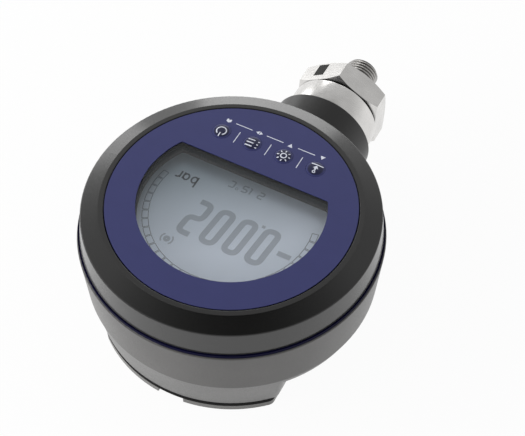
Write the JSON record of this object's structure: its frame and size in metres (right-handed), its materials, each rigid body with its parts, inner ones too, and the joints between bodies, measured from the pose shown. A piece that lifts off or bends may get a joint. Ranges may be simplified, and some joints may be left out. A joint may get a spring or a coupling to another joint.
{
  "type": "digital pressure gauge",
  "caption": "Round digital pressure gauge with a recessed display, a row of domed keys, a battery bay behind and a turning steel process connection below.",
  "frame": {"origin": "on the rest plane under the battery cover, on the axis of the round case", "axes": "+Z out of the face, +Y toward the top of the display, -Y along the process connection"},
  "size_m": [0.0998, 0.1587, 0.0564],
  "materials": {
    "case_plastic": "fine-grained moulded",
    "bezel_plastic": "fine-grained moulded",
    "trim_blue": "smooth",
    "foil_blue": "satin foil",
    "clear_pane": "clear",
    "seal_black": "matt",
    "frame_black": "matt",
    "lcd_grey": "satin",
    "light_white": "diffusing",
    "board_green": "solder resist",
    "chip_black": "moulded",
    "screw_steel": "plain",
    "turned_steel": "turned",
    "cell_can": "wrapped",
    "contact_metal": "plated",
    "washer_black": "smooth"
  },
  "bodies": {
    "case": {"case_body": "case_plastic", "battery_cover": "case_plastic", "bezel_ring": "bezel_plastic", "trim_ring": "trim_blue", "front_foil": "foil_blue", "front_pane": "clear_pane", "pane_gasket": "seal_black", "display_frame": "frame_black", "lcd_panel": "lcd_grey", "backlight_panel": "light_white", "main_board": "board_green", "controller_chip": "chip_black", "key_switches": "chip_black", "board_screws": "screw_steel", "case_screws": "screw_steel", "battery_cells": "cell_can", "battery_contacts": "contact_metal", "cover_seal": "seal_black", "cover_screws": "screw_steel"},
    "connection": {"process_connection": "turned_steel", "stop_pin": "screw_steel", "stem_seal": "seal_black", "retaining_ring": "screw_steel", "slip_washer": "washer_black", "sensor_cell": "turned_steel", "sensor_board": "board_green"},
    "zero_key": {"key_zero": "foil_blue"},
    "light_key": {"key_light": "foil_blue"},
    "menu_key": {"key_menu": "foil_blue"},
    "power_key": {"key_power": "foil_blue"}
  },
  "joints": [
    {"name": "case_swivel", "type": "hinge", "parent": "case", "child": "connection", "pos_m": [0, -0.0696, 0.0193], "axis": [0, 1, 0], "range_deg": [-165, 165]},
    {"name": "zero_press", "type": "slide", "parent": "case", "child": "zero_key", "axis": [0, 0, -1], "range_m": [0, 0.0005], "stiffness_N_per_m": 4000},
    {"name": "light_press", "type": "slide", "parent": "case", "child": "light_key", "axis": [0, 0, -1], "range_m": [0, 0.0005], "stiffness_N_per_m": 4000},
    {"name": "menu_press", "type": "slide", "parent": "case", "child": "menu_key", "axis": [0, 0, -1], "range_m": [0, 0.0005], "stiffness_N_per_m": 4000},
    {"name": "power_press", "type": "slide", "parent": "case", "child": "power_key", "axis": [0, 0, -1], "range_m": [0, 0.0005], "stiffness_N_per_m": 4000}
  ]
}
